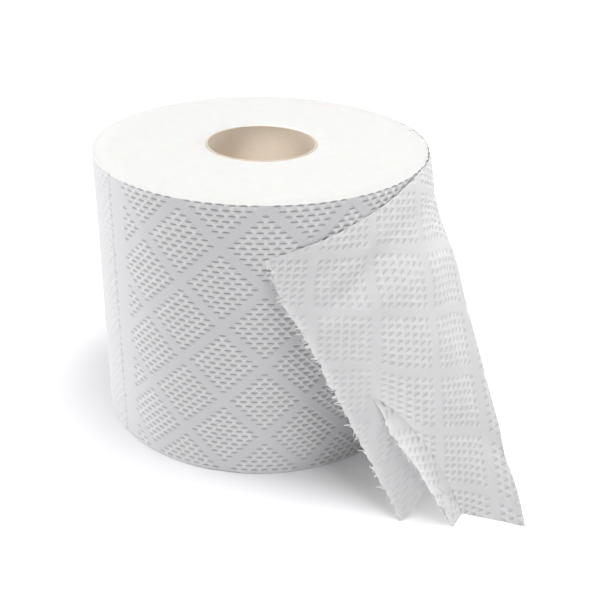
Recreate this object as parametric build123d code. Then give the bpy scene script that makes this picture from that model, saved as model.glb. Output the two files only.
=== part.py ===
from build123d import *
import math
import os

# A roll of embossed two-ply bathroom tissue on its cardboard core, standing on end.
# Lengths are in millimetres and angles in degrees. The roll's axis is +Z, the floor
# is z = 0, and azimuth 0 is +X. The outer turn runs clockwise, seen from above.

# The wound roll
web_width = 100.0
roll_diameter = 118.0
core_bore = 38.0
core_wall = 0.6
winding_gap = 0.05

# Some turns stand a little proud of the others, so both end faces show a spiral channel
channel_turns = 2
channel_depth = 0.3

# The embossing: lozenge fields pressed in between plain bands that cross at right angles
lozenge_pitch = 28.0
plain_band_width = 4.4
emboss_depth = 0.3
lozenge_azimuth = -88.6
lozenge_height = 57.5

# The tear lines between the sheets
sheet_length = 106.6
tear_line_width = 0.9
tear_line_depth = 0.45
free_length_to_tear = 116.0

# The loose tail's thickness, and its root, which is sunk into the turn below
tail_thickness = 0.7
root_depth = 1.3
root_angle = 12.0

# The tail's hem on the floor: out from the roll to the foot, where the web turns back,
# then on to the valley, which is a crease, and to the lower end of the torn edge
foot_distance = 63.5
foot_azimuth = -45.2
fold_length = 5.2
fore_hem_length = 20.85
fore_hem_heading = 161.8
torn_hem_length = 20.9
torn_hem_heading = 189.4
hem_arch_height = 13.0

# The tail's top edge: level as it rounds the rim, then sinking to its torn corner
rim_azimuth = -17.0
rim_distance = 2.6
sink_azimuth = -30.0
corner_azimuth = -88.8
corner_distance = 2.0
corner_drop_height = 17.6
corner_drop_power = 1.1

# The tail's rulings are places along the web, from 0 at the root to 1 at the torn edge
leave_place = 0.08
foot_place = 0.51
fold_half_place = 0.02
valley_place = 0.76
arch_place = 0.89

# Each ruling's place, then how far its lower and upper ends have gone along their own
# stretches. A rear ruling also has its upper end's share of the distance at the rim.
rear_rulings = ((leave_place, 0.0, 0.16, -0.2), (0.25, 0.40, 0.49, 0.35), (0.44, 0.85, 0.86, 0.8))
fore_rulings = ((0.60, 0.55, 0.22), (0.67, 0.85, 0.42))
fold_top_shares = (0.96, 0.06)
valley_top_share = 0.65

# The front ply's lower corner, parted from the tail along a crease and folded forward
ply_thickness = 0.4
flap_foot_width = 7.3
flap_foot_heading = 239.1
flap_bow_height = 3.2
flap_rise = 0.44
flap_top_place = 0.90
flap_crease_power = 2.5

# Grids that the tail's and the flap's surfaces are drawn through
columns_per_ruling = 2
tail_rises = (0, 0.15, 0.4, 1)
flap_columns = 8

roll_radius = roll_diameter / 2
core_radius = core_bore / 2 + core_wall
paper_bore_radius = core_radius + winding_gap


def polar(azimuth, distance, height):
    """A point named by its azimuth, its distance out from the roll and its height."""
    angle = math.radians(azimuth)
    radius = roll_radius + distance
    return Vector(radius * math.cos(angle), radius * math.sin(angle), height)


def between(start, end, share):
    """The value or point that lies a share of the way from start to end."""
    return start + (end - start) * share


def step_from(start, length, heading):
    """The point on the floor that lies a length away from the start, by a heading."""
    angle = math.radians(heading)
    return start + Vector(length * math.cos(angle), length * math.sin(angle), 0)


def level(direction):
    """The direction's horizontal part, one long."""
    return Vector(direction.X, direction.Y, 0).normalized()


def upright_cylinder(radius):
    """A cylinder on the floor, as tall as the web is wide."""
    return Cylinder(radius, web_width, align=(Align.CENTER, Align.CENTER, Align.MIN))


def make_core():
    """The cardboard tube, cut to the same length as the paper by the same saw."""
    return upright_cylinder(core_radius) - upright_cylinder(core_bore / 2)


def end_channels(face_height, inward):
    """One end face's spiral channel: half rings that grow as they run clockwise."""
    half_step = (roll_radius - paper_bore_radius) / (channel_turns + 0.5) / 2
    radius = paper_bore_radius + half_step
    centre_x = 0.0
    side = 1
    half_rings = []
    for _ in range(2 * channel_turns - 1):
        middle_x = centre_x + side * (radius + half_step / 2)
        middle_height = face_height + inward * channel_depth / 2
        section = Plane.XZ * Pos(middle_x, middle_height) * Rectangle(half_step, channel_depth)
        axis = Axis((centre_x, 0, 0), (0, 0, -1))
        half_rings.append(revolve(section, axis=axis, revolution_arc=180))
        side = -side
        centre_x = centre_x - side * half_step
        radius = radius + half_step
    return half_rings


def lozenge_stamp(half_size):
    """The space that one pressed field takes out of the roll's surface, at azimuth 0."""
    outline = Polyline((half_size, 0), (0, half_size), (-half_size, 0), (0, -half_size), close=True)
    stamp = extrude(Plane.YZ * make_face(outline), amount=roll_radius + emboss_depth)
    return stamp - Cylinder(roll_radius - emboss_depth, 2 * lozenge_pitch)


def lozenge_cutters(leave_azimuth):
    """The pressed fields, staggered row by row, wherever the root doesn't cover them."""
    half_size = lozenge_pitch / 2 - plain_band_width / math.sqrt(2)
    stamp = lozenge_stamp(half_size)
    half_step = math.degrees(lozenge_pitch / 2 / roll_radius)
    half_width = math.degrees(half_size / roll_radius)
    first_azimuth = leave_azimuth + root_angle + half_width - 360
    last_azimuth = leave_azimuth - half_width
    columns_back = math.floor((lozenge_azimuth - first_azimuth) / half_step)
    columns_on = math.floor((last_azimuth - lozenge_azimuth) / half_step)
    rows_down = math.floor((lozenge_height + half_size) / (lozenge_pitch / 2))
    rows_up = math.floor((web_width + half_size - lozenge_height) / (lozenge_pitch / 2))
    cutters = []
    for column in range(-columns_back, columns_on + 1):
        for row in range(-rows_down, rows_up + 1):
            if (column + row) % 2 == 0:
                height = lozenge_height + row * lozenge_pitch / 2
                azimuth = lozenge_azimuth + column * half_step
                cutters.append(Pos(0, 0, height) * Rot(0, 0, azimuth) * stamp)
    return cutters


def tear_line_cutters(leave_azimuth):
    """A shallow straight crease where each sheet of the last turn can be torn off."""
    turn_length = 2 * math.pi * roll_radius
    arc_from_leaving = 2 * sheet_length - free_length_to_tear
    cutters = []
    while arc_from_leaving < turn_length:
        azimuth = leave_azimuth + 360 * arc_from_leaving / turn_length
        crease = Box(2 * tear_line_depth, tear_line_width, web_width)
        crease = Pos(roll_radius, 0, web_width / 2) * crease
        cutters.append(Rot(0, 0, azimuth) * crease)
        arc_from_leaving = arc_from_leaving + sheet_length
    return cutters


def make_turns(leave_azimuth):
    """The wound turns, with their embossing, tear lines and spiral end channels."""
    cutters = [upright_cylinder(paper_bore_radius)]
    cutters = cutters + end_channels(web_width, -1) + end_channels(0, 1)
    cutters = cutters + lozenge_cutters(leave_azimuth)
    cutters = cutters + tear_line_cutters(leave_azimuth)
    return upright_cylinder(roll_radius).cut(*cutters)


def smooth_path(places, points, place):
    """A point on the smooth curve that passes each point at its place."""
    last = len(points) - 1
    index = 0
    while index < last - 1 and places[index + 1] < place:
        index = index + 1

    def slope(k):
        low = max(k - 1, 0)
        high = min(k + 1, last)
        if low == k or high == k:
            return (points[high] - points[low]) * (1 / (places[high] - places[low]))
        back = (points[k] - points[low]) * (1 / (places[k] - places[low]))
        ahead = (points[high] - points[k]) * (1 / (places[high] - places[k]))
        return between(back, ahead, (places[k] - places[low]) / (places[high] - places[low]))

    span = places[index + 1] - places[index]
    share = (place - places[index]) / span
    middle = between(points[index], points[index + 1], share * share * (3 - 2 * share))
    lead = slope(index) * (span * share * (1 - share) ** 2)
    trail = slope(index + 1) * (span * share**2 * (share - 1))
    return middle + lead + trail


class Tail:
    """The loose tail: straight rulings from a curve along its hem to one along its top."""

    def __init__(self):
        self.foot = polar(foot_azimuth, foot_distance, 0)
        swing = math.degrees(math.acos(roll_radius / (roll_radius + foot_distance)))
        self.leave_azimuth = foot_azimuth + swing
        self.root_azimuth = self.leave_azimuth + root_angle
        self.leave = polar(self.leave_azimuth, 0, 0)
        self.valley = step_from(self.foot, fore_hem_length, fore_hem_heading)
        self.tear_foot = step_from(self.valley, torn_hem_length, torn_hem_heading)
        rulings = self.rear_part() + self.fold_part() + self.fore_part()
        self.places = [place for place, _, _ in rulings]
        self.hem = [low for _, low, _ in rulings]
        self.rim = [high for _, _, high in rulings]

    def rear_part(self):
        """Rulings of the limb that leaves the roll as a tangent, down to the foot."""
        root = polar(self.root_azimuth, -root_depth, 0)
        rulings = [(0, root, self.top_behind(0, -root_depth))]
        for place, low_share, high_share, distance_share in rear_rulings:
            low = between(self.leave, self.foot, low_share)
            rulings.append((place, low, self.top_behind(high_share, rim_distance * distance_share)))
        return rulings

    def fold_part(self):
        """Rulings that round the foot, where the web turns back."""
        before = self.foot + (self.leave - self.foot).normalized() * fold_length
        after = self.foot + (self.valley - self.foot).normalized() * fold_length
        share_before, share_after = fold_top_shares
        return [
            (foot_place - fold_half_place, before, self.top_behind(share_before, rim_distance)),
            (foot_place, self.foot, self.top_behind(1, rim_distance)),
            (foot_place + fold_half_place, after, self.top_ahead(share_after, rim_distance)),
        ]

    def fore_part(self):
        """Rulings of the face that shows in front, from the foot to the torn edge."""
        rulings = []
        for place, low_share, high_share in fore_rulings:
            low = between(self.foot, self.valley, low_share)
            rulings.append((place, low, self.top_ahead(high_share, rim_distance)))
        for share in (0, 0.5, 1):
            place = between(valley_place, 1, share)
            low = between(self.valley, self.tear_foot, share)
            high_share = between(valley_top_share, 1, share)
            rulings.append((place, low, self.top_ahead(high_share, corner_distance)))
        return rulings

    def top_behind(self, share, distance):
        """A point on the top edge between the root and the rim's right side."""
        return self.top(between(self.root_azimuth, rim_azimuth, share), distance)

    def top_ahead(self, share, distance):
        """A point on the top edge between the rim's right side and the torn corner."""
        return self.top(between(rim_azimuth, corner_azimuth, share), distance)

    def top(self, azimuth, distance):
        """A point on the top edge, which sinks once it has rounded the rim's right side."""
        share = (sink_azimuth - azimuth) / (sink_azimuth - corner_azimuth)
        drop = corner_drop_height * max(0.0, share) ** corner_drop_power
        return polar(azimuth, distance, web_width - drop)

    def lift(self, place):
        """How far the hem arches off the floor, between the valley and the torn edge."""
        if place <= valley_place:
            return 0.0
        if place < arch_place:
            share = (place - valley_place) / (arch_place - valley_place)
        else:
            share = (1 - place) / (1 - arch_place)
        return hem_arch_height * math.sin(math.pi / 2 * share) ** 2

    def point(self, place, rise):
        """A point on the outer face, at a share of the way up its ruling."""
        low = smooth_path(self.places, self.hem, place)
        high = smooth_path(self.places, self.rim, place)
        return between(low, high, rise) + Vector(0, 0, self.lift(place) * (1 - rise) ** 3)

    def facing(self, place, rise):
        """The level direction that the outer face looks in."""
        nudge = 0.004
        after = self.point(min(1, place + nudge), rise)
        before = self.point(max(0, place - nudge), rise)
        above = self.point(place, min(1, rise + nudge))
        below = self.point(place, max(0, rise - nudge))
        return level((above - below).cross(after - before))

    def columns(self):
        """Places for a grid: each stretch between rulings in equal steps."""
        grid = []
        for start, end in zip(self.places, self.places[1:]):
            steps = columns_per_ruling * (2 if start >= valley_place else 1)
            grid = grid + [between(start, end, step / steps) for step in range(steps)]
        return grid + [1]


def splines(row, breaks):
    """The curves through a row of points, parted at the breaks."""
    return [Edge.make_spline(row[start : end + 1]) for start, end in zip(breaks, breaks[1:])]


def thick_sheet(outer_rows, inner_rows, breaks):
    """A closed solid between two like grids of points, ruled from row to row."""
    outer = [splines(row, breaks) for row in outer_rows]
    inner = [splines(row, breaks) for row in inner_rows]
    pairs = list(zip(outer[0], inner[0])) + list(zip(outer[-1], inner[-1]))
    for side in (outer, inner):
        for lower, upper in zip(side, side[1:]):
            pairs = pairs + list(zip(lower, upper))
    for end in (0, -1):
        outer_end = [row[end] for row in outer_rows]
        inner_end = [row[end] for row in inner_rows]
        for row in range(len(outer_rows) - 1):
            outer_line = Edge.make_line(outer_end[row], outer_end[row + 1])
            inner_line = Edge.make_line(inner_end[row], inner_end[row + 1])
            pairs.append((outer_line, inner_line))
    return Solid(Shell([Face.make_surface_from_curves(first, second) for first, second in pairs]))


def make_sheet(tail):
    """The tail itself, one thickness deep, from its sunk root to its torn edge."""
    places = tail.columns()
    breaks = [places.index(place) for place in tail.places]
    outer_rows = []
    inner_rows = []
    for rise in tail_rises:
        outer_row = [tail.point(place, rise) for place in places]
        back_row = [tail.facing(place, rise) * tail_thickness for place in places]
        outer_rows.append(outer_row)
        inner_rows.append([point - back for point, back in zip(outer_row, back_row)])
    return thick_sheet(outer_rows, inner_rows, breaks)


def make_flap(tail):
    """The parted corner of the front ply, from the valley crease out to its own tear."""
    flap_foot = step_from(tail.valley, flap_foot_width, flap_foot_heading)
    torn_corner = tail.point(1, 1)
    shares = [step / flap_columns for step in range(flap_columns + 1)]
    crease = []
    tear = []
    backs = []
    for share in shares:
        rise = flap_rise * share
        place = between(valley_place, flap_top_place, share**flap_crease_power)
        facing = tail.facing(place, rise)
        crease.append(tail.point(place, rise) - facing * (tail_thickness / 2))
        bow = facing * (flap_bow_height * math.sin(math.pi * share))
        tear.append(between(flap_foot, torn_corner, rise) + bow)
        across = level(tear[-1] - crease[-1])
        backs.append(Vector(across.Y, -across.X, 0) * ply_thickness)
    outer_rows = [crease, tear]
    inner_rows = [[point + back for point, back in zip(row, backs)] for row in outer_rows]
    return thick_sheet(outer_rows, inner_rows, (0, flap_columns))


tail = Tail()
core_tube = make_core()
wound_paper = make_turns(tail.leave_azimuth).fuse(make_sheet(tail), make_flap(tail))

os.makedirs("parts", exist_ok=True)
export_step(core_tube, "parts/core_tube.step")
export_step(wound_paper, "parts/wound_paper.step")
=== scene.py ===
import bmesh
import bpy
import math
import random
from mathutils import Matrix, Quaternion, Vector, noise


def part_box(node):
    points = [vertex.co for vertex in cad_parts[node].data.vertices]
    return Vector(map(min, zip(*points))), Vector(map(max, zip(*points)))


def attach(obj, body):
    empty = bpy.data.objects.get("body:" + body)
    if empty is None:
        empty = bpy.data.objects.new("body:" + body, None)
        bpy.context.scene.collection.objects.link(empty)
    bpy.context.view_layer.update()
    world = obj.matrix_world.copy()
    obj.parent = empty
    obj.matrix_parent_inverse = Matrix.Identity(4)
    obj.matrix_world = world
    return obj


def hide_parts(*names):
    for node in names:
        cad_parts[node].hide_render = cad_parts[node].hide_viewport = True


# %% [markdown]
# # A roll of embossed bathroom tissue
#
# The real thing is two pieces: a cardboard tube, and one long web of two-ply tissue wound
# round it, whose loose end hangs off as a tail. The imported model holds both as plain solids.
# Here the tube gets its board finish, and the paper is modelled again as thin embossed web.

# %% Load the frame
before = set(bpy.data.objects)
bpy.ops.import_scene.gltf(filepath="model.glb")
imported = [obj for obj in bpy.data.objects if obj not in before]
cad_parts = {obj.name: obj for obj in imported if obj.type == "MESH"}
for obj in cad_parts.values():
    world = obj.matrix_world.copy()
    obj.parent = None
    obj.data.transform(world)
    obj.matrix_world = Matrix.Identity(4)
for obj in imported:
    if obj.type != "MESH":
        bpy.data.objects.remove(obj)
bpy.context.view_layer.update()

# %% [markdown]
# Everything is in metres, in the solids' own frame: the roll's axis is Z and the floor is
# z = 0. The sizes that the solids already have are read from them, so they can't disagree.

# %% Sizes of the roll
mm = 0.001
paper_low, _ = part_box("wound_paper")
_, core_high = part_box("core_tube")
web_width = core_high.z
roll_radius = -paper_low.x
print("web width", round(web_width, 4), "m, roll radius", round(roll_radius, 4), "m")

# %% [markdown]
# ## The finishes
#
# A finish is a small tree of shader nodes. One helper adds a node, sets its plain values and
# links its inputs; a whole node stands for its first output. Some sockets go by number: a
# Math node's are 0, 1 and 2, and a Mix node blends its colours 6 and 7 by its share 0 into
# output 2. Colours are written as the hex values that a screen shows, and one function
# turns them into the linear values that shaders work in.

# %% Helpers for finishes
def linear(hex_colour):
    """A screen colour such as "#D9CBB8" as linear red, green, blue and alpha."""
    channels = [int(hex_colour[start:start + 2], 16) / 255 for start in (1, 3, 5)]
    curved = [c / 12.92 if c <= 0.04045 else ((c + 0.055) / 1.055) ** 2.4 for c in channels]
    return (*curved, 1)


def new_finish(name):
    """A new node material, as the material, its tree and its Principled shader."""
    material = bpy.data.materials.new(name)
    material.use_nodes = True
    tree = material.node_tree
    return material, tree, tree.nodes["Principled BSDF"]


def feed(tree, node, values, links):
    """Set some sockets to plain values and link others to an output or a whole node."""
    for socket, value in values.items():
        node.inputs[socket].default_value = value
    for socket, source in links.items():
        if isinstance(source, bpy.types.Node):
            source = source.outputs[0]
        tree.links.new(source, node.inputs[socket])


def add_node(tree, kind, values=None, links=None, **settings):
    """One shader node with its settings, its socket values and what feeds it."""
    node = tree.nodes.new("ShaderNode" + kind)
    for name, value in settings.items():
        setattr(node, name, value)
    feed(tree, node, values or {}, links or {})
    return node


# %% [markdown]
# Bathroom tissue is bleached soft pulp, creped off a drying cylinder. To the eye it is a
# matte white with no shine, a faint cloudiness where the fibres clump, and a fine nap. The
# crepe is about 0.3 mm from crest to crest, too fine for the render, so it is drawn at 0.7 mm.
# Pressed tissue is thinner and lets more shade through, so it looks greyer than what puffs
# up beside it; the colours go further than that, and paint shade into the dash floors and a
# highlight onto the ridges. The attribute "relief" says how high each point stands: 0 on the
# floor of a dash, 0.6 on a plain band and 1 on a ridge. Torn fibres scatter light and look
# whiter; the whitening along the torn edge is partly that and partly a painted highlight.

# %% Tissue finish
band_relief = 0.6
cloud_size, cloud_strength = 6 * mm, 0.12
crepe_size, crepe_height = 0.7 * mm, 0.08 * mm
crepe_stretch = (1.0, 0.3, 1.0)
light_reach = 0.7 * mm


def creped_tissue(name, colours, glow, with_tear_lines):
    """The web's outer face. The three colours are for ridges, plain bands and dash floors:
    the ridges' is partly a painted highlight, and the dash floors' partly painted shade.
    """
    lit_ridge_colour, band_colour, shaded_dash_colour = [linear(colour) for colour in colours]
    material, tree, shader = new_finish(name)
    place = add_node(tree, "TexCoord").outputs["Object"]
    web = add_node(tree, "UVMap", uv_map="web").outputs["UV"]
    relief = add_node(tree, "Attribute", attribute_name="relief").outputs["Fac"]
    torn = add_node(tree, "Attribute", attribute_name="torn").outputs["Fac"]
    # Colour by relief: painted shade in the dash floors, a painted highlight on the ridges.
    raised = add_node(tree, "MapRange", {"From Min": band_relief}, {"Value": relief})
    sunk = add_node(tree, "MapRange", {"From Max": band_relief}, {"Value": relief})
    upper = add_node(tree, "Mix", {6: band_colour, 7: lit_ridge_colour}, {0: raised}, data_type="RGBA")
    shade = add_node(tree, "Mix", {6: shaded_dash_colour},
                     {0: sunk, 7: upper.outputs[2]}, data_type="RGBA")
    clouds = add_node(tree, "TexNoise", {"Scale": 1 / cloud_size, "Detail": 3.0},
                      {"Vector": place})
    cloud_share = add_node(tree, "Math", {1: cloud_strength}, {0: clouds}, operation="MULTIPLY")
    shade = add_node(tree, "Mix", {7: linear("#D8D8DA")},
                     {0: cloud_share, 6: shade.outputs[2]}, data_type="RGBA")
    # Whiter towards a torn edge: partly fluffed fibres, partly a painted highlight.
    shade = add_node(tree, "Mix", {7: linear("#FDFDFD")},
                     {0: torn, 6: shade.outputs[2]}, data_type="RGBA")
    stretched = add_node(tree, "Mapping", {"Scale": crepe_stretch}, {"Vector": web})
    crepe = add_node(tree, "TexNoise", {"Scale": 1 / crepe_size, "Detail": 2.0},
                     {"Vector": stretched})
    bump = add_node(tree, "Bump", {"Strength": 0.25, "Distance": crepe_height}, {"Height": crepe})
    if with_tear_lines:
        shade = add_node(tree, "Mix", {7: linear("#D4D4D6")},
                         {0: dotted_line(tree, web), 6: shade.outputs[2]}, data_type="RGBA")
    looks = {"Roughness": 0.95, "Specular IOR Level": 0.15, "Sheen Weight": 0.15,
             "Sheen Roughness": 0.6, "Subsurface Weight": glow,
             "Subsurface Radius": (1.0, 1.0, 1.0), "Subsurface Scale": light_reach}
    feed(tree, shader, looks, {"Base Color": shade.outputs[2], "Normal": bump})
    return material


# %% [markdown]
# A row of short slits crosses the web at each sheet's end. They are narrower than the mesh's
# cells, so the finish draws them, by the place along the web. The loose tail lets far more
# light through than the roll does, so it gets paler colours and more light from inside.

# %% Tear lines, and the two tissue finishes
sheet_length = 106.6 * mm
tear_line_at = 203.4 * mm
slit_pitch, slit_share = 2.4 * mm, 0.65
slit_core, slit_edge = 0.2 * mm, 0.5 * mm


def dotted_line(tree, web):
    """1 on the slits of the perforation, which cross the web at every sheet's end."""
    split = add_node(tree, "SeparateXYZ", None, {"Vector": web})
    shifted = add_node(tree, "Math", {1: tear_line_at - sheet_length / 2},
                       {0: split.outputs["X"]}, operation="SUBTRACT")
    along = add_node(tree, "Math", {1: sheet_length}, {0: shifted}, operation="FLOORED_MODULO")
    off = add_node(tree, "Math", {1: sheet_length / 2}, {0: along}, operation="SUBTRACT")
    distance = add_node(tree, "Math", None, {0: off}, operation="ABSOLUTE")
    near = add_node(tree, "MapRange",
                    {"From Min": slit_core, "From Max": slit_edge, "To Min": 1.0, "To Max": 0.0},
                    {"Value": distance})
    across = add_node(tree, "Math", {1: slit_pitch}, {0: split.outputs["Y"]},
                      operation="FLOORED_MODULO")
    cut = add_node(tree, "Math", {1: slit_share * slit_pitch}, {0: across}, operation="LESS_THAN")
    return add_node(tree, "Math", None, {0: near, 1: cut}, operation="MULTIPLY")


# In each set the darkest colour paints shade into the dash floors, the lightest a highlight onto
# the ridges.
roll_colours = ("#FCFCFB", "#E9E9EA", "#C2C2C6")
tail_colours = ("#FEFEFD", "#F1F1F2", "#DDDDE1")
roll_finish = creped_tissue("creped_tissue_on_roll", roll_colours, 0.1, True)
tail_finish = creped_tissue("creped_tissue_loose", tail_colours, 0.8, False)

# %% [markdown]
# The ends of the roll are sawn, so they show the edges of all the turns: hundreds of thin
# layers a third of a millimetre apart. The eye sees almost no rings, only a soft mottle, so
# the rings are drawn 0.9 mm apart and faint, and bent a little by noise.

# %% Sawn end finish
mottle_size, fibre_size = 4 * mm, 0.5 * mm
ring_gap, ring_bend, ring_height = 0.9 * mm, 0.8 * mm, 0.08 * mm


def sawn_tissue(name):
    """The end faces: faint rings round the axis and a soft mottle."""
    material, tree, shader = new_finish(name)
    place = add_node(tree, "TexCoord").outputs["Object"]
    mottle = add_node(tree, "TexNoise", {"Scale": 1 / mottle_size, "Detail": 5.0},
                      {"Vector": place})
    colour = add_node(tree, "Mix", {6: linear("#F3F3F0"), 7: linear("#FAFAF8")},
                      {0: mottle}, data_type="RGBA")
    flat = add_node(tree, "Mapping", {"Scale": (1.0, 1.0, 0.0)}, {"Vector": place})
    radius = add_node(tree, "VectorMath", None, {0: flat}, operation="LENGTH")
    bent = add_node(tree, "Math", {1: ring_bend}, {0: mottle, 2: radius.outputs["Value"]},
                    operation="MULTIPLY_ADD")
    turns = add_node(tree, "Math", {1: 2 * math.pi / ring_gap}, {0: bent}, operation="MULTIPLY")
    rings = add_node(tree, "Math", None, {0: turns}, operation="SINE")
    ring_bump = add_node(tree, "Bump", {"Strength": 0.12, "Distance": ring_height},
                         {"Height": rings})
    fibre = add_node(tree, "TexNoise", {"Scale": 1 / fibre_size, "Detail": 2.0}, {"Vector": place})
    bump = add_node(tree, "Bump", {"Strength": 0.3, "Distance": 0.1 * mm},
                    {"Height": fibre, "Normal": ring_bump})
    looks = {"Roughness": 0.95, "Specular IOR Level": 0.15, "Subsurface Weight": 0.1,
             "Subsurface Scale": 1 * mm}
    feed(tree, shader, looks, {"Base Color": colour.outputs[2], "Normal": bump})
    return material


end_finish = sawn_tissue("sawn_tissue_edges")

# %% [markdown]
# The tube is spiral-wound board: two strips of unbleached paper, glued and wound at a slant
# over a rod. Its seam runs up the bore as a helix. The tube is the solid itself, dressed
# with a board finish: a warm grey-brown, fibre flecks, and a thin dark seam at its slant.

# %% Board finish
seam_rise = 95 * mm
seam_turn = 2.4 + math.pi
seam_half_angle, lap_half_angle = 0.035, 0.02
seam_strength = 0.55
fleck_size = 1.2 * mm


def spiral_board(name):
    """Unbleached core board with its helical seam."""
    material, tree, shader = new_finish(name)
    place = add_node(tree, "TexCoord").outputs["Object"]
    split = add_node(tree, "SeparateXYZ", None, {"Vector": place})
    around = add_node(tree, "Math", None,
                      {0: split.outputs["Y"], 1: split.outputs["X"]}, operation="ARCTAN2")
    climb = add_node(tree, "Math", {1: 2 * math.pi / seam_rise},
                     {0: split.outputs["Z"]}, operation="MULTIPLY")
    phase = add_node(tree, "Math", None, {0: around, 1: climb}, operation="SUBTRACT")
    turned = add_node(tree, "Math", {1: seam_turn}, {0: phase}, operation="ADD")
    wrapped = add_node(tree, "Math", {1: 2 * math.pi}, {0: turned}, operation="FLOORED_MODULO")
    off = add_node(tree, "Math", {1: math.pi}, {0: wrapped}, operation="SUBTRACT")
    distance = add_node(tree, "Math", None, {0: off}, operation="ABSOLUTE")
    seam = add_node(tree, "MapRange", {"From Max": seam_half_angle, "To Min": 1.0, "To Max": 0.0},
                    {"Value": distance})
    lap = add_node(tree, "MapRange", {"From Min": -lap_half_angle, "From Max": lap_half_angle},
                   {"Value": off})
    flecks = add_node(tree, "TexNoise", {"Scale": 1 / fleck_size, "Detail": 6.0, "Roughness": 0.7},
                      {"Vector": place})
    board = add_node(tree, "Mix", {6: linear("#E2D3C1"), 7: linear("#EFE4D6")},
                     {0: flecks}, data_type="RGBA")
    faint = add_node(tree, "Math", {1: seam_strength}, {0: seam}, operation="MULTIPLY")
    shade = add_node(tree, "Mix", {7: linear("#BCA890")},
                     {0: faint, 6: board.outputs[2]}, data_type="RGBA")
    step = add_node(tree, "Bump", {"Strength": 0.6, "Distance": 0.2 * mm}, {"Height": lap})
    bump = add_node(tree, "Bump", {"Strength": 0.25, "Distance": 0.1 * mm},
                    {"Height": flecks, "Normal": step})
    feed(tree, shader, {"Roughness": 0.85, "Specular IOR Level": 0.25},
         {"Base Color": shade.outputs[2], "Normal": bump})
    return material


board_finish = spiral_board("spiral_wound_board")
core_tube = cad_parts["core_tube"]
core_tube.data.materials.clear()
core_tube.data.materials.append(board_finish)

# %% [markdown]
# A few small functions are used all through: shares kept in range or eased, points between
# others or round the roll, a mesh's open edges, and new objects.

# %% Helpers for shares, places and meshes
def clamped(share):
    """The value, kept from 0 to 1."""
    return min(1, max(0, share))


def eased(share):
    """A share from 0 to 1 that starts and ends softly."""
    return share * share * (3 - 2 * share)


def between(start, end, share):
    """The value or point that lies a share of the way from start to end."""
    return start + (end - start) * share


def polar(azimuth, distance, height):
    """A point named by its azimuth, its distance out from the roll and its height."""
    angle = math.radians(azimuth)
    radius = roll_radius + distance
    return Vector((radius * math.cos(angle), radius * math.sin(angle), height))


def borders(items):
    """The edges among these that have a face on one side only."""
    return [item for item in items if isinstance(item, bmesh.types.BMEdge) and item.is_boundary]


def put_in_scene(name, data):
    """A new object at the origin that holds this mesh, lamp or camera."""
    holder = bpy.data.objects.new(name, data)
    bpy.context.scene.collection.objects.link(holder)
    return holder


def mesh_from(bm, name):
    """The working mesh as a mesh of the scene."""
    mesh = bpy.data.meshes.new(name)
    bm.to_mesh(mesh)
    bm.free()
    return mesh


# %% [markdown]
# ## The embossed web
#
# A steel roller presses short dashes into the web, in diamond fields between plain bands
# that cross at right angles. Flat, that is a square grid turned by 45 degrees: a repeat is
# nine cells each way, seven with a dash and two left plain for the band. So the flat web
# starts as one grid, in which the faces that get a dash are marked before it is turned.

# %% Flat embossed web
lozenge_pitch = 28 * mm
cells_per_lozenge = 9
dashes_per_lozenge = 7
tile = lozenge_pitch / math.sqrt(2)
dash_cell = 2.52 * mm
web_margin = 20 * mm


def has_dash(index):
    """Whether this row of cells, counted from a field's middle row, crosses a field."""
    half = dashes_per_lozenge // 2
    return (index + half) % cells_per_lozenge < dashes_per_lozenge


def band_line(count):
    """Where a grid line lies, counted in cells from a field's middle: bands get the rest."""
    tiles = round(count / cells_per_lozenge)
    rest = count - tiles * cells_per_lozenge
    in_field = max(-dashes_per_lozenge / 2, min(dashes_per_lozenge / 2, rest))
    band_cell = (tile - dashes_per_lozenge * dash_cell) / (cells_per_lozenge - dashes_per_lozenge)
    return tiles * tile + in_field * dash_cell + (rest - in_field) * band_cell


def flat_web(start, end, field_centre, plain=lambda along: False):
    """Grid cells for a stretch of web, x along it and y across, with the dash faces."""
    middle = Vector(((start + end) / 2, web_width / 2, 0))
    steps = [round((middle[axis] - field_centre[axis]) / lozenge_pitch) for axis in (0, 1)]
    centre = Vector([field_centre[axis] + steps[axis] * lozenge_pitch for axis in (0, 1)] + [0])
    reach = (end - start) / 2 + web_width / 2 + 2 * lozenge_pitch
    count = 2 * math.ceil(reach / tile * cells_per_lozenge / math.sqrt(2)) + 1
    bm = bmesh.new()
    bmesh.ops.create_grid(bm, x_segments=count, y_segments=count, size=count / 2)
    dashed = bm.faces.layers.int.new("dashed")
    for face in bm.faces:
        spot = face.calc_center_median()
        face[dashed] = has_dash(round(spot.x)) and has_dash(round(spot.y))
    for vert in bm.verts:
        column, row = round(2 * vert.co.x) / 2, round(2 * vert.co.y) / 2
        vert.co = Vector((band_line(column), band_line(row), 0))
    eighth_turn = Matrix.Rotation(math.radians(45), 3, "Z")
    bmesh.ops.rotate(bm, verts=bm.verts, cent=(0, 0, 0), matrix=eighth_turn)
    bmesh.ops.translate(bm, verts=bm.verts, vec=centre)
    outside = []
    for face in bm.faces:
        spot = face.calc_center_median()
        in_length = start - web_margin < spot.x < end + web_margin
        in_width = -web_margin < spot.y < web_width + web_margin
        if not (in_length and in_width):
            outside.append(face)
        elif plain(spot.x):
            face[dashed] = 0
    bmesh.ops.delete(bm, geom=outside, context="FACES")
    return bm, dashed


# %% [markdown]
# Each dash is two insets: one draws its outline, and the next pushes its floor down. Between
# the dashes the plies puff up a little, so those corners of the grid are lifted. Real dimples
# catch the light from every side, which a bump in the finish wouldn't do at the web's edges.

# %% Press the dashes
dash_half_length = 1.35 * mm
dash_half_height = 0.36 * mm
emboss_depth = 0.27 * mm
puff_height = 0.2 * mm
outline_inset, floor_inset = 0.4 * mm, 0.18 * mm


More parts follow.
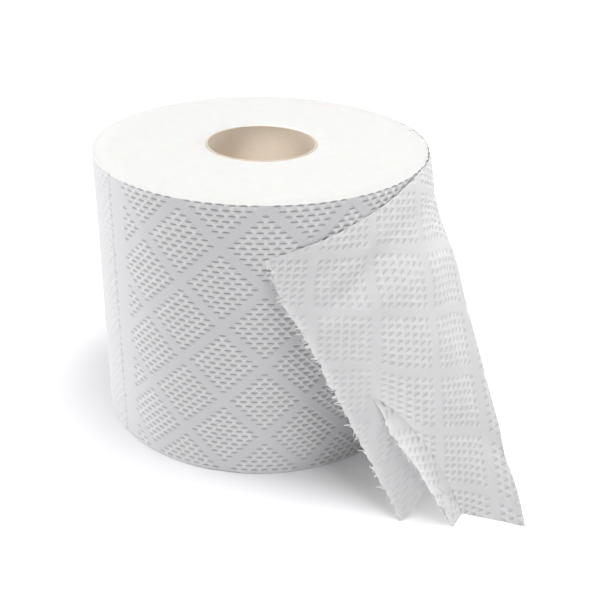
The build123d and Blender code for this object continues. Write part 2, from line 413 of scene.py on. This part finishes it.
def press_dashes(bm, dashed):
    """Two insets a dash: its rounded outline on the face, then its floor, pushed down."""
    faces = [face for face in bm.faces if face[dashed]]
    inner = [vert for vert in bm.verts if len(vert.link_faces) == 4]
    crests = [vert for vert in inner if all(face[dashed] for face in vert.link_faces)]
    bmesh.ops.translate(bm, verts=crests, vec=(0, 0, puff_height))
    bmesh.ops.inset_individual(bm, faces=faces, thickness=outline_inset, depth=0,
                               use_even_offset=True)
    outline = list(dict.fromkeys(edge for face in faces for edge in face.edges))
    bmesh.ops.bisect_edges(bm, edges=outline, cuts=1)
    for face in faces:
        spot = face.calc_center_median()
        for vert in face.verts:
            ray = (vert.co - spot).normalized()
            along, across = ray.x * dash_half_length, ray.y * dash_half_height
            vert.co = Vector((spot.x + along, spot.y + across, 0))
    bmesh.ops.inset_individual(bm, faces=faces, thickness=floor_inset, depth=-emboss_depth,
                               use_even_offset=True)
    return len(faces)


# %% [markdown]
# The web is cut while it is flat, where a straight cut is one plane. Its flat places are
# kept as a UV map, which the crepe and the slits follow when the web is bent.

# %% Cut the web, and keep its flat places
trim_tolerance = 1e-7
hair = 1e-6
# How far from a torn edge the colour whitens, partly as a painted highlight.
torn_width = 1.6 * mm


def trim(bm, point, outward):
    """Cut the flat web along a straight line and drop what lies outside."""
    everything = bm.verts[:] + bm.edges[:] + bm.faces[:]
    bmesh.ops.bisect_plane(bm, geom=everything, dist=trim_tolerance, plane_co=point,
                           plane_no=outward, clear_outer=True)


def save_web_map(bm, from_tear=None):
    """Keep the flat places as a UV map, and relief and tears as attributes."""
    layer = bm.loops.layers.uv.new("web")
    for face in bm.faces:
        for loop in face.loops:
            loop[layer].uv = (loop.vert.co.x, loop.vert.co.y)
    # Relief sets the painted shade in the dash floors and the painted highlight on the ridges.
    relief = bm.verts.layers.float.new("relief")
    torn = bm.verts.layers.float.new("torn")
    for vert in bm.verts:
        if vert.co.z < 0:
            vert[relief] = max(0, band_relief * (1 + vert.co.z / emboss_depth))
        else:
            vert[relief] = min(1, band_relief + (1 - band_relief) * vert.co.z / puff_height)
        if from_tear:
            vert[torn] = clamped(1 - from_tear(vert.co) / torn_width)


# %% [markdown]
# The roll's outer turn is that flat web bent round a cylinder. Along the web, x counts from
# the line where the tail leaves, round the back and the front to the same line again. The
# field centres are placed as they lie on the real roll. Between the last fields on the tail
# and those in front, the pattern drifts by nearly a centimetre, as a web does on the machine.

# %% Where the tail leaves, and the pattern's places
foot_azimuth = -45.2
foot_distance = 63.5 * mm
foot_to_leave = math.acos(roll_radius / (roll_radius + foot_distance))
leave_azimuth = foot_azimuth + math.degrees(foot_to_leave)
turn_length = 2 * math.pi * roll_radius
turn_thickness = 0.35 * mm
front_field = (263.0 * mm, 57.5 * mm)
tail_field = (-77.0 * mm, 51.6 * mm)
pattern_drift = Vector((3.3 * mm, -8.2 * mm, 0))
drift_length = 180 * mm
plain_from, plain_to = 0.8 * mm, 8.4 * mm


def beside_tear_line(along):
    """The web is left plain just past the line in front, where the next sheet starts."""
    return plain_from < along - tear_line_at < plain_to


print("the tail leaves at azimuth", round(leave_azimuth, 2))

# %% [markdown]
# The outer turn is wound a little looser than the rest, so its surface isn't a perfect
# cylinder: it has broad soft swells of about a seventh of a millimetre, and its sawn rim is
# a little rough. So the flat web is bent vertex by vertex, with noise in its radius.

# %% Bend the web round the roll
swell_round, swell_up = 3, 25
turn_swell = 0.15 * mm
rim_reach = 3 * mm
rim_roughness = 0.45 * mm
rim_grain = 2.6 * mm


def swell(azimuth, height):
    """The broad unevenness of the outer turn, in metres."""
    angle = math.radians(azimuth)
    spot = (swell_round * math.cos(angle), swell_round * math.sin(angle), swell_up * height)
    return turn_swell * noise.noise(Vector(spot))


def wrap_on_roll(bm):
    """Bend the flat web round the roll, sinking by one turn's thickness on the way."""
    for vert in bm.verts:
        along, height, depth = vert.co
        azimuth = leave_azimuth + math.degrees(along / roll_radius)
        sink = turn_thickness * along / turn_length
        near_rim = max(0, 1 - min(height, web_width - height) / rim_reach)
        rough = rim_roughness * near_rim * noise.noise(Vector((along, height, 0)) / rim_grain)
        out = depth - sink + rough + swell(azimuth, height)
        vert.co = polar(azimuth, out, max(0, height + rough))


# %% [markdown]
# From its rim the same mesh goes on over the end faces, ring by ring, and down the bore, so
# the roll is one closed skin. Each ring is written as how far in from the outer turn it
# lies, and how deep under the end face, both in millimetres: first the rounded rim and the
# step to the turn below, then the dished middle and the edge of the bore. The rim has more
# vertices than a plain end face needs, so they are merged into a few on the way.

# %% Rings over the end faces
ring_count = 120
rim_rings = ((0.45, 0), (1.0, 0.25), (1.5, 0), (6, 0))
face_rings = ((18, 0.1), (33.4, 0.1), (38.9, 0), (39.35, 0.3))


def vertices_of(edges):
    """The vertices of some edges, each once, in an order that is the same in every run."""
    return list(dict.fromkeys(vert for edge in edges for vert in edge.verts))


def grow_ring(bm, loop, radius, level):
    """Extrude a loop to a ring of this radius, at this height."""
    grown = bmesh.ops.extrude_edge_only(bm, edges=loop)["geom"]
    loop = borders(grown)
    for vert in vertices_of(loop):
        direction = Vector((vert.co.x, vert.co.y, 0)).normalized()
        vert.co = direction * radius + Vector((0, 0, level))
    for face in {face for edge in loop for face in edge.link_faces}:
        face.material_index = 1
    return loop


def even_out(bm, loop):
    """Merge a dense ring's vertices into a few that are evenly spaced."""
    leaders, followers = {}, {}
    for vert in vertices_of(loop):
        turn_share = math.atan2(vert.co.y, vert.co.x) / (2 * math.pi)
        slot = round(turn_share * ring_count) % ring_count
        leader = leaders.setdefault(slot, vert)
        if leader is not vert:
            followers[vert] = leader
    for slot, leader in leaders.items():
        angle = 2 * math.pi * slot / ring_count
        radius = Vector((leader.co.x, leader.co.y)).length
        leader.co = Vector((radius * math.cos(angle), radius * math.sin(angle), leader.co.z))
    bmesh.ops.weld_verts(bm, targetmap=followers)
    kept = set(leaders.values())
    return [edge for edge in borders(bm.edges) if kept.issuperset(edge.verts)]


def close_end(bm, height, inward):
    """Extrude the rim's loop over the end face, ring by ring. Returns the last loop."""
    loop = [e for e in borders(bm.edges) if abs(e.verts[0].co.z - height) < web_width / 2]
    for step, sink in rim_rings:
        loop = grow_ring(bm, loop, roll_radius - step * mm, height + inward * sink * mm)
    loop = even_out(bm, loop)
    for step, sink in face_rings:
        loop = grow_ring(bm, loop, roll_radius - step * mm, height + inward * sink * mm)
    return loop


# %% [markdown]
# The embossing isn't even all round: before the tear line in front it came out faint, and
# round the back the pattern drifts. Each is a value that changes along the web.

# %% Uneven pressing
faint_middle = 185 * mm
faint_reach = 45 * mm
faint_pressing = 0.2


def pressing(along):
    """How strongly the web is pressed: the stretch before the line in front came out faint."""
    if along >= tear_line_at:
        return 1
    share = clamped(abs(along - faint_middle) / faint_reach)
    return between(faint_pressing, 1, eased(share))


def drifted(along):
    """How far the pattern has drifted at this place along the web."""
    return pattern_drift * (1 - eased(clamped(along / drift_length)))


# %% [markdown]
# The roll is one turn of flat web, bent, joined at its seam and closed at both ends. The
# solid's own skin isn't used, because it has no dashes.

# %% Outer turn and end faces
rim = 0.25 * mm


def make_roll():
    """The wound roll's skin: outer turn, end faces and bore, as one closed mesh."""
    bm, dashed = flat_web(0, turn_length, front_field, beside_tear_line)
    count = press_dashes(bm, dashed)
    for vert in bm.verts:
        vert.co.z *= pressing(vert.co.x)
        vert.co += drifted(vert.co.x)
    trim(bm, (0, 0, 0), (-1, 0, 0))
    trim(bm, (turn_length, 0, 0), (1, 0, 0))
    trim(bm, (0, rim, 0), (0, -1, 0))
    trim(bm, (0, web_width - rim, 0), (0, 1, 0))
    save_web_map(bm)
    seam = [e for e in borders(bm.edges) if abs(e.verts[0].co.x - e.verts[1].co.x) < hair]
    wrap_on_roll(bm)
    bmesh.ops.bridge_loops(bm, edges=seam)
    top = close_end(bm, web_width, -1)
    bottom = close_end(bm, 0, 1)
    bmesh.ops.bridge_loops(bm, edges=top + bottom)
    bmesh.ops.recalc_face_normals(bm, faces=bm.faces)
    open_edges = len(borders(bm.edges))
    print("roll:", count, "dashes,", len(bm.faces), "faces,", open_edges, "open edges")
    return bm


def finished_piece(bm, name, finishes):
    """The mesh as a piece of the object, smooth-shaded but for a sheet's cut edges."""
    for edge in bm.edges:
        edge.smooth = not edge.is_boundary
    mesh = mesh_from(bm, name)
    for finish in finishes:
        mesh.materials.append(finish)
    mesh.polygons.foreach_set("use_smooth", [True] * len(mesh.polygons))
    piece = put_in_scene(name, mesh)
    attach(piece, "root")
    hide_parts("wound_paper")
    return piece


finished_piece(make_roll(), "tissue_roll", [roll_finish, end_finish])

# %% [markdown]
# ## The loose tail
#
# Tissue bends easily one way at a time and hardly stretches, so a loose sheet is a ruled
# surface: straight lines that run from its hem on the floor up to its top edge. The tail
# leaves the roll as a tangent, flares to a foot on the floor, turns back there, hugs the
# rim and ends in a torn edge. The lines are the same ones that the solid has, so the sheet
# lies where the solid lies. Only its top edge, where the solid is thicker than tissue, lies
# one and a half to two millimetres closer to the roll. Each line is written as its place,
# from 0 at the sunk root to 1 at the torn edge, its foot on the hem, and its top.

# %% The tail's lines
root_angle = 12.0
root_depth = 1.3 * mm
fold_length = 5.2 * mm
fore_hem_length, fore_hem_heading = 20.85 * mm, 161.8
torn_hem_length, torn_hem_heading = 20.9 * mm, 189.4
hem_arch_height = 13 * mm
rim_azimuth, rim_distance = -17.0, 0.55 * mm
corner_azimuth, corner_distance = -88.8, 0.55 * mm
sink_azimuth, corner_drop_height, corner_drop_power = -30.0, 18.1 * mm, 1.1
leave_place, foot_place, valley_place, arch_place = 0.08, 0.51, 0.76, 0.89


def step_from(start, length, heading):
    """The point on the floor that lies a length away from the start, by a heading."""
    angle = math.radians(heading)
    return start + Vector((length * math.cos(angle), length * math.sin(angle), 0))


def top_edge(azimuth, distance):
    """A point on the top edge, which sinks once it has rounded the rim's right side."""
    share = max(0, (sink_azimuth - azimuth) / (sink_azimuth - corner_azimuth))
    return polar(azimuth, distance, web_width - corner_drop_height * share ** corner_drop_power)


def top_behind(share, distance):
    """A point on the top edge between the root and the rim's right side."""
    return top_edge(between(leave_azimuth + root_angle, rim_azimuth, share), distance)


def top_ahead(share, distance):
    """A point on the top edge between the rim's right side and the torn corner."""
    return top_edge(between(rim_azimuth, corner_azimuth, share), distance)


leave = polar(leave_azimuth, 0, 0)
foot = polar(foot_azimuth, foot_distance, 0)
valley = step_from(foot, fore_hem_length, fore_hem_heading)
tear_foot = step_from(valley, torn_hem_length, torn_hem_heading)
before_foot = foot + (leave - foot).normalized() * fold_length
after_foot = foot + (valley - foot).normalized() * fold_length
tail_lines = [
    (0, polar(leave_azimuth + root_angle, -root_depth, 0), top_behind(0, -root_depth)),
    (leave_place, leave, top_behind(0.16, -0.15 * rim_distance)),
    (0.25, between(leave, foot, 0.40), top_behind(0.49, 0.15 * rim_distance)),
    (0.44, between(leave, foot, 0.85), top_behind(0.86, 0.6 * rim_distance)),
    (foot_place - 0.02, before_foot, top_behind(0.96, 0.85 * rim_distance)),
    (foot_place, foot, top_behind(1, rim_distance)),
    (foot_place + 0.02, after_foot, top_ahead(0.06, rim_distance)),
    (0.60, between(foot, valley, 0.55), top_ahead(0.22, rim_distance)),
    (0.67, between(foot, valley, 0.85), top_ahead(0.42, rim_distance)),
    (valley_place, valley, top_ahead(0.65, corner_distance)),
    (0.88, between(valley, tear_foot, 0.5), top_ahead(0.825, corner_distance)),
    (1, tear_foot, top_ahead(1, corner_distance)),
]
line_places = [place for place, _, _ in tail_lines]
line_feet = [low for _, low, _ in tail_lines]
line_tops = [high for _, _, high in tail_lines]
print("hem foot at", [round(1000 * value, 1) for value in foot], "mm")

# %% [markdown]
# Between the lines a smooth path is drawn through their feet, and one through their tops.
# Each path passes its points and leaves each along the mean of its two neighbouring
# directions. Behind the torn flap the hem of the back ply arches off the floor.

# %% Smooth paths through the lines
def smooth_path(points, place):
    """A point on the smooth curve that passes each point at its line's place."""
    last = len(points) - 1
    index = 0
    while index < last - 1 and line_places[index + 1] < place:
        index += 1

    def rate(low, high):
        return (points[high] - points[low]) / (line_places[high] - line_places[low])

    def slope(k):
        low, high = max(k - 1, 0), min(k + 1, last)
        if low == k or high == k:
            return rate(low, high)
        behind, whole = line_places[k] - line_places[low], line_places[high] - line_places[low]
        return between(rate(low, k), rate(k, high), behind / whole)

    span = line_places[index + 1] - line_places[index]
    share = (place - line_places[index]) / span
    middle = between(points[index], points[index + 1], eased(share))
    lead = slope(index) * (span * share * (1 - share) ** 2)
    trail = slope(index + 1) * (span * share ** 2 * (share - 1))
    return middle + lead + trail


def hem_lift(place):
    """How far the hem arches off the floor, between the valley and the torn edge."""
    if place <= valley_place:
        return 0.0
    if place < arch_place:
        share = (place - valley_place) / (arch_place - valley_place)
    else:
        share = (1 - place) / (1 - arch_place)
    return hem_arch_height * math.sin(math.pi / 2 * share) ** 2


# %% [markdown]
# Thousands of vertices ask where they go, so the paths are walked once and kept in a table.
# It also adds up how far along the flat web each line starts and ends. By that a flat place
# finds its line, and the paper keeps its length along the hem and the top edge.

# %% Points of the tail
upright_start = 0.75
upright_shift = 0.25


def upright(rise):
    """How far a point has gone in towards the roll: the top strip stands up against it."""
    share = clamped((rise - upright_start) / (1 - upright_start))
    return rise + upright_shift * share * (1 - share) ** 2


table_steps = 600
facing_nudge = 0.004


class Ruled:
    """Points of the tail, looked up from a fine table of its lines."""

    def __init__(self, steps):
        self.steps = steps
        self.low = [smooth_path(line_feet, step / steps) for step in range(steps + 1)]
        self.high = [smooth_path(line_tops, step / steps) for step in range(steps + 1)]
        self.lift = [hem_lift(step / steps) for step in range(steps + 1)]
        self.low_web = self.web_places(self.low)
        self.high_web = self.web_places(self.high)

    def web_places(self, path):
        """How far along the flat web each point of a path lies, 0 at the leaving line."""
        start = round(leave_place * self.steps)
        places = [0.0]
        for before, after in zip(path, path[1:]):
            places.append(places[-1] + (after - before).length)
        return [places[start] - place for place in places]

    def look_up(self, table, place):
        """A table's value at a place, from the two entries beside it."""
        spot = place * self.steps
        index = max(0, min(self.steps - 1, math.floor(spot)))
        return between(table[index], table[index + 1], spot - index)

    def point(self, place, rise):
        """A point on the outer face, at a share of the way up its line."""
        low, high = self.look_up(self.low, place), self.look_up(self.high, place)
        spot = between(low, high, upright(rise))
        lift = self.look_up(self.lift, min(1, place)) * (1 - rise) ** 3
        spot.z = between(low.z, high.z, rise) + lift
        return spot

    def facing(self, place, rise):
        """The direction that the outer face looks in."""
        after = self.point(min(1, place + facing_nudge), rise)
        before = self.point(max(0, place - facing_nudge), rise)
        above = self.point(place, min(1, rise + facing_nudge))
        below = self.point(place, max(0, rise - facing_nudge))
        return (above - below).cross(after - before).normalized()

    def along_at(self, index, rise):
        """How far along the web one of the table's lines crosses this height."""
        return between(self.low_web[index], self.high_web[index], rise)

    def place_at(self, along, rise):
        """The place whose line crosses this height of the web at this distance along it."""
        low, high = 0, self.steps
        while high - low > 1:
            middle = (low + high) // 2
            if self.along_at(middle, rise) > along:
                low = middle
            else:
                high = middle
        here, there = self.along_at(low, rise), self.along_at(high, rise)
        return (low + (here - along) / (here - there)) / self.steps


tail = Ruled(table_steps)
hem_end, top_end = tail.low_web[-1], tail.high_web[-1]
print("flat tail: hem", round(1000 * hem_end), "mm, top", round(1000 * top_end), "mm")

# %% [markdown]
# Pulled paper shows tension: faint ridges and hollows that fan out from where it is held,
# here the rim at the right and the torn corner. Each is a line on the flat web with a soft
# cross-section, from 0.4 to 0.9 mm high or deep. Broad low swells of noise keep the rest
# from lying dead flat. Both die away towards the root and the top edge.

# %% Wrinkles of the loose tail
def web_spot(along, height):
    """A place on the flat web, given in millimetres."""
    return Vector((along * mm, height * mm, 0))


wrinkles = (
    (web_spot(-112, 82), web_spot(-78, 94), 2.2 * mm, 0.9 * mm),
    (web_spot(-116, 76), web_spot(-80, 88), 2.2 * mm, -0.8 * mm),
    (web_spot(-108, 71), web_spot(-72, 84), 2.2 * mm, 0.8 * mm),
    (web_spot(-98, 66), web_spot(-66, 79), 2.4 * mm, -0.6 * mm),
    (web_spot(-121, 78), web_spot(-137, 32), 2.4 * mm, -0.6 * mm),
    (web_spot(-114, 66), web_spot(-127, 40), 2.8 * mm, 0.4 * mm),
    (web_spot(-108, 30), web_spot(-92, 16), 5 * mm, -0.7 * mm),
)
wrinkle_overrun = 0.3
swell_size = 16 * mm
swell_height = 0.5 * mm
root_cover = 6 * mm
root_calm, root_fade = 10 * mm, 30 * mm
top_fade = 8 * mm


def wrinkled(spot):
    """How far the tail's wrinkles lift this place of the flat web off its lines."""
    lift = swell_height * noise.noise(spot / swell_size)
    for start, end, half_width, height in wrinkles:
        course = end - start
        share = (spot - start).dot(course) / course.length_squared
        if -wrinkle_overrun < share < 1 + wrinkle_overrun:
            off = (spot - start - course * share).length / half_width
            fade = 1 - min(1, abs(2 * share - 1) / (1 + 2 * wrinkle_overrun)) ** 2
            lift += height * fade * math.exp(-off * off)
    from_root = clamped((root_cover - spot.x - root_calm) / root_fade)
    from_top = min(1, (web_width - spot.y) / top_fade)
    return lift * from_root * from_top


# %% [markdown]
# Each point of the flat tail goes to the line that crosses its place on the web, and stands
# off it by its depth in the embossing, which has relaxed to two thirds away from the roll.

# %% Hang the web on the lines
tail_relief = 0.65
relief_fade = 50 * mm


def hang_on_lines(bm):
    """Move each flat point to its place on the tail, lifted or pressed by its depth."""
    for vert in bm.verts:
        along, height, depth = vert.co
        rise = height / web_width
        place = tail.place_at(along, rise)
        relaxed = clamped(-along / relief_fade)
        depth = between(1, tail_relief, relaxed) * depth + wrinkled(Vector((along, height, 0)))
        vert.co = tail.point(place, rise) + tail.facing(min(1, place), rise) * depth
        vert.co.z = max(0, vert.co.z)


# %% [markdown]
# On the tail the fields lie a little slanted, and past the valley the embossing is pulled
# nearly flat. So the flat pattern is moved to where its band crossings lie on the real tail.

# %% Lie of the tail's pattern
middle_crossing, crossing_place = web_spot(-91, 51.6), web_spot(-99.2, 45.8)
step_right, step_left = web_spot(16.0, -6.8), web_spot(-14.1, -17.2)
side_hump = web_spot(0, 2.6)
rear_start, rear_calm = -52 * mm, 50 * mm


def lie_of_pattern(spot):
    """How far the tail's pattern lies off the turned grid, as its band crossings show."""
    front = Vector((min(spot.x, rear_start), spot.y, 0))
    calm = clamped((spot.x - rear_start) / rear_calm)
    front.y = between(front.y, web_width / 2, calm)
    off = (front - middle_crossing) / lozenge_pitch
    steps_right, steps_left = off.x - off.y, -off.x - off.y
    hump = (1 - math.cos(math.pi * min(1, max(-1, steps_right)))) / 2
    lies_at = crossing_place + step_right * steps_right + step_left * steps_left + side_hump * hump
    return lies_at - front


pulled_reach = 10 * mm
pulled_share = 0.75


def web_along(place, rise):
    """How far along the web the line at this place crosses this height."""
    low, high = tail.look_up(tail.low_web, place), tail.look_up(tail.high_web, place)
    return between(low, high, rise)


def pulled_flat(spot):
    """How much of the embossing is left here, as a share."""
    rise = spot.y / web_width
    beyond = clamped((web_along(valley_place, rise) - spot.x) / pulled_reach)
    return 1 - pulled_share * beyond * (1 - rise)


# %% [markdown]
# Torn tissue ends in a wandering edge with short tufts of fibre. Each tuft is drawn out of a
# single edge in a few narrowing steps, which takes far fewer faces than hairs would.

# %% Torn edge
tear_wander, tear_wander_size = 0.9 * mm, 3.5 * mm
tear_jitter = (-0.2, 0.2)
tuft_share = 0.28
tuft_steps = 3
tuft_out, tuft_aside, tuft_lift = (0.15, 0.55), (-0.35, 0.35), (-0.1, 0.3)
tuft_stray, tuft_narrowing = (-0.25, 0.25), (0.55, 0.9)


def fray(bm, edges, rng):
    """Pull a torn edge about, and draw short tufts of fibre out of some of its edges."""
    for vert in vertices_of(edges):
        wander = tear_wander * noise.noise(Vector((0, vert.co.y, 3)) / tear_wander_size)
        vert.co.x += wander + rng.uniform(*tear_jitter) * mm
    for edge in edges:
        if rng.random() < tuft_share:
            draw_tuft(bm, edge, rng)


def draw_tuft(bm, edge, rng):
    """One tuft: the edge is drawn out in steps that narrow and stray."""
    out, aside, lift = [rng.uniform(*span) for span in (tuft_out, tuft_aside, tuft_lift)]
    reach = Vector((-out, aside, lift)) * mm
    for _ in range(tuft_steps):
        grown = bmesh.ops.extrude_edge_only(bm, edges=[edge])["geom"]
        ends = [item for item in grown if isinstance(item, bmesh.types.BMVert)]
        edge = borders(grown)[0]
        middle = (ends[0].co + ends[1].co) / 2
        stray = Vector([rng.uniform(*tuft_stray) * mm for _ in range(3)])
        for vert in ends:
            vert.co = middle + (vert.co - middle) * rng.uniform(*tuft_narrowing) + reach + stray


# %% [markdown]
# The tail is cut straight at the top and the hem, and slanting where it was torn. A Solidify
# modifier gives it the thickness of two plies, so dimples in front are bumps on the back.

# %% Loose tail
tissue_thickness = 0.35 * mm


def make_tail():
    """The loose tail as an embossed sheet on its lines."""
    bm, dashed = flat_web(hem_end, root_cover, tail_field)
    count = press_dashes(bm, dashed)
    for vert in bm.verts:
        vert.co += lie_of_pattern(vert.co)
        vert.co.z *= pulled_flat(vert.co)
    trim(bm, (root_cover, 0, 0), (1, 0, 0))
    trim(bm, (0, 0, 0), (0, -1, 0))
    trim(bm, (0, web_width, 0), (0, 1, 0))
    torn_foot = Vector((hem_end, 0, 0))
    slant = Vector((-web_width, top_end - hem_end, 0)).normalized()
    trim(bm, torn_foot, slant)

    def from_tear(spot):
        return (torn_foot - spot).dot(slant)

    torn = [e for e in borders(bm.edges) if all(abs(from_tear(v.co)) < hair for v in e.verts)]
    fray(bm, torn, random.Random(7))
    save_web_map(bm, from_tear)
    hang_on_lines(bm)
    print("tail:", count, "dashes,", len(torn), "torn edges,", len(bm.faces), "faces")
    return bm


def thicken(piece, thickness):
    """Give a sheet its thickness, inwards from its outer face."""
    solid = piece.modifiers.new("two_plies", "SOLIDIFY")
    solid.thickness = thickness
    solid.offset = -1


loose_tail = finished_piece(make_tail(), "loose_tail", [tail_finish])
thicken(loose_tail, tissue_thickness)

# %% [markdown]
# At the tail's lower corner the two plies have parted. The front ply folds forward along a
# crease and stands on the floor on its own torn edge. Two curves bound it: the crease,
# which follows the tail, and the tear, which bows forward.

# %% Borders of the parted corner
flap_foot_width, flap_foot_heading = 7.3 * mm, 239.1
flap_bow_height, flap_rise = 3.2 * mm, 0.44
flap_top_place, flap_crease_power = 0.90, 2.5
flap_taper_start, flap_taper = 0.72, 0.85
flap_foot = step_from(valley, flap_foot_width, flap_foot_heading)
torn_corner = tail.point(1, 1)


def crease_and_tear(rise):
    """The flap's two borders at this height, with where the crease lies along the web."""
    share = clamped(rise / flap_rise)
    place = between(valley_place, flap_top_place, share ** flap_crease_power)
    facing = tail.facing(place, rise)
    bow = facing * (flap_bow_height * math.sin(math.pi * share))
    crease_along = web_along(place, rise)
    crease_spot = Vector((crease_along, rise * web_width, 0))
    crease = tail.point(place, rise) + facing * wrinkled(crease_spot)
    taper = flap_taper * max(0, (share - flap_taper_start) / (1 - flap_taper_start)) ** 2
    tear = between(between(flap_foot, torn_corner, rise) + bow, crease, taper)
    return crease, tear, crease_along


def across_flap(spot):
    """How far across the flap a flat place lies: 0 at the crease and 1 at the tear."""
    crease, tear, crease_along = crease_and_tear(spot.y / web_width)
    return (crease_along - spot.x) / (tear - crease).length


# %% [markdown]
# The flap is one more cut of the embossed web, spread between those two curves. It is a
# single ply, so it is half as thick as the tail.

# %% Parted corner of the front ply
ply_thickness = 0.18 * mm
flap_stretch = 40 * mm


def make_flap():
    """The parted corner as an embossed sheet between its crease and its tear."""
    bm, dashed = flat_web(hem_end, hem_end + flap_stretch, tail_field)
    press_dashes(bm, dashed)
    for vert in bm.verts:
        vert.co += lie_of_pattern(vert.co)
    trim(bm, (0, 0, 0), (0, -1, 0))
    trim(bm, (0, flap_rise * web_width, 0), (0, 1, 0))
    shares = {vert: across_flap(vert.co) for vert in bm.verts}
    outside = []
    for face in bm.faces:
        face_shares = [shares[vert] for vert in face.verts]
        if max(face_shares) < 0 or min(face_shares) > 1:
            outside.append(face)
    bmesh.ops.delete(bm, geom=outside, context="FACES")
    for vert in bm.verts:
        crease, tear, crease_along = crease_and_tear(vert.co.y / web_width)
        vert.co.x = crease_along - clamped(shares[vert]) * (tear - crease).length
    torn = [e for e in borders(bm.edges) if all(shares[v] >= 1 for v in e.verts)]
    fray(bm, torn, random.Random(11))
    save_web_map(bm, lambda spot: (1 - across_flap(spot)) * flap_foot_width)
    for vert in bm.verts:
        along, height, depth = vert.co
        crease, tear, crease_along = crease_and_tear(height / web_width)
        across = tear - crease
        outward = Vector((-across.y, across.x, 0)).normalized()
        share = (crease_along - along) / across.length
        vert.co = crease + across * share + outward * (tail_relief * depth)
        vert.co.z = max(0, vert.co.z)
    print("flap:", len(torn), "torn edges,", len(bm.faces), "faces")
    return bm


parted_ply = finished_piece(make_flap(), "parted_ply", [tail_finish])
thicken(parted_ply, ply_thickness)

# %% [markdown]
# The flap isn't a rectangle. Its crease and tear are found at the middle of each of some
# strips up its height, but nothing is made of them here.

# %% Strips of the parted corner
flap_slices = 40
for index in range(flap_slices):
    crease_end, tear_end, _ = crease_and_tear(flap_rise * (index + 0.5) / flap_slices)

# %% [markdown]
# ## The stage
#
# The floor and what is behind it are plain white. The floor is a pale matte sheet that
# still takes the roll's shadow. To the camera it also glows, more and more away from the
# roll, so that the far floor is white without any more light on the roll.

# %% Floor and backdrop
floor_half_size, floor_drop = 6, 0.1 * mm
glow_starts, glow_ends = 0.06, 0.16
glow_near, glow_far = 0.12, 0.9
bm = bmesh.new()
bmesh.ops.create_grid(bm, x_segments=1, y_segments=1, size=floor_half_size)
bmesh.ops.translate(bm, verts=bm.verts, vec=(0, 0, -floor_drop))
floor = put_in_scene("floor", mesh_from(bm, "floor"))
material, tree, shader = new_finish("matte_white_sweep")
camera_ray = add_node(tree, "LightPath").outputs["Is Camera Ray"]
place = add_node(tree, "TexCoord").outputs["Object"]
distance = add_node(tree, "VectorMath", None, {0: place}, operation="LENGTH")
spread = add_node(tree, "MapRange",
                  {"From Min": glow_starts, "From Max": glow_ends,
                   "To Min": glow_near, "To Max": glow_far},
                  {"Value": distance.outputs["Value"]})
glow = add_node(tree, "Math", None, {0: camera_ray, 1: spread}, operation="MULTIPLY")
looks = {"Base Color": linear("#EDEDEF"), "Roughness": 1.0, "Specular IOR Level": 0.0,
         "Emission Color": (1, 1, 1, 1)}
feed(tree, shader, looks, {"Emission Strength": glow})
floor.data.materials.append(material)

# %% [markdown]
# The sky is white where the camera sees it, but it puts only a little light on the roll.

# %% Sky
sky_on_roll, sky_seen = 0.08, 1.0
world = bpy.data.worlds.new("studio")
bpy.context.scene.world = world
world.use_nodes = True
sky = world.node_tree
path = add_node(sky, "LightPath")
seen = add_node(sky, "Math", None,
                {0: path.outputs["Is Camera Ray"], 1: path.outputs["Is Glossy Ray"]},
                operation="MAXIMUM")
strength = add_node(sky, "MapRange", {"To Min": sky_on_roll, "To Max": sky_seen}, {"Value": seen})
feed(sky, sky.nodes["Background"], {"Color": (1, 1, 1, 1)}, {"Strength": strength})

# %% [markdown]
# A large soft lamp stands high, a little in front and to the right, so the top is bright
# and the front turns away into a light grey. Two from the sides, a little behind, brighten
# both flanks and rake across the embossing. A weak low one in front opens the shadows. A
# narrow one looks into the mouth of the core, whose wall would be too dark without it.

# %% Lamps
def aimed_lamp(name, kind, place, aim, power):
    """A lamp that stands at a place and looks at a point."""
    lamp = bpy.data.lights.new(name, kind)
    lamp.energy = power
    holder = put_in_scene(name, lamp)
    holder.location = place
    holder.rotation_mode = "QUATERNION"
    holder.rotation_quaternion = (Vector(aim) - holder.location).to_track_quat("-Z", "Y")
    return lamp


roll_middle = (0, 0, web_width / 2)
core_mouth = (0, 0, web_width)
soft_boxes = (
    ("key_from_above", (0.25, -0.25, 1.2), 0.9, 11.8),
    ("side_from_back_left", (-0.95, 0.35, 0.3), 0.6, 7.8),
    ("side_from_back_right", (0.9, 0.4, 0.4), 0.6, 3.2),
    ("low_from_front", (-0.35, -0.95, 0.12), 0.5, 1.9),
)
for name, place, size, power in soft_boxes:
    aimed_lamp(name, "AREA", place, roll_middle, power).size = size
snoot = aimed_lamp("snoot_into_core", "SPOT", (-0.2, -0.62, 0.95), core_mouth, 35)
snoot.shadow_soft_size = 3 * mm
snoot.spot_size = math.radians(1.85)
snoot.spot_blend = 0.7

# %% [markdown]
# ## The camera
#
# The camera stands in front and looks down at the roll. It is named by where it stands, the
# point that it looks at, and a slight lean, all found by matching the rims of the roll.

# %% Camera
camera_place = Vector((0, -330.405 * mm, 210.274 * mm))
camera_aim = Vector((16.909 * mm, 42.835 * mm, 14.896 * mm))
camera_lean = 1.39
camera_data = bpy.data.cameras.new("camera")
camera_data.lens = 58.394
camera_data.sensor_width = 36
camera = put_in_scene("camera", camera_data)
camera.location = camera_place
camera.rotation_mode = "QUATERNION"
level_look = (camera_aim - camera_place).to_track_quat("-Z", "Y")
camera.rotation_quaternion = level_look @ Quaternion((0, 0, 1), math.radians(camera_lean))
bpy.context.scene.camera = camera
bpy.context.scene.view_settings.view_transform = "Standard"
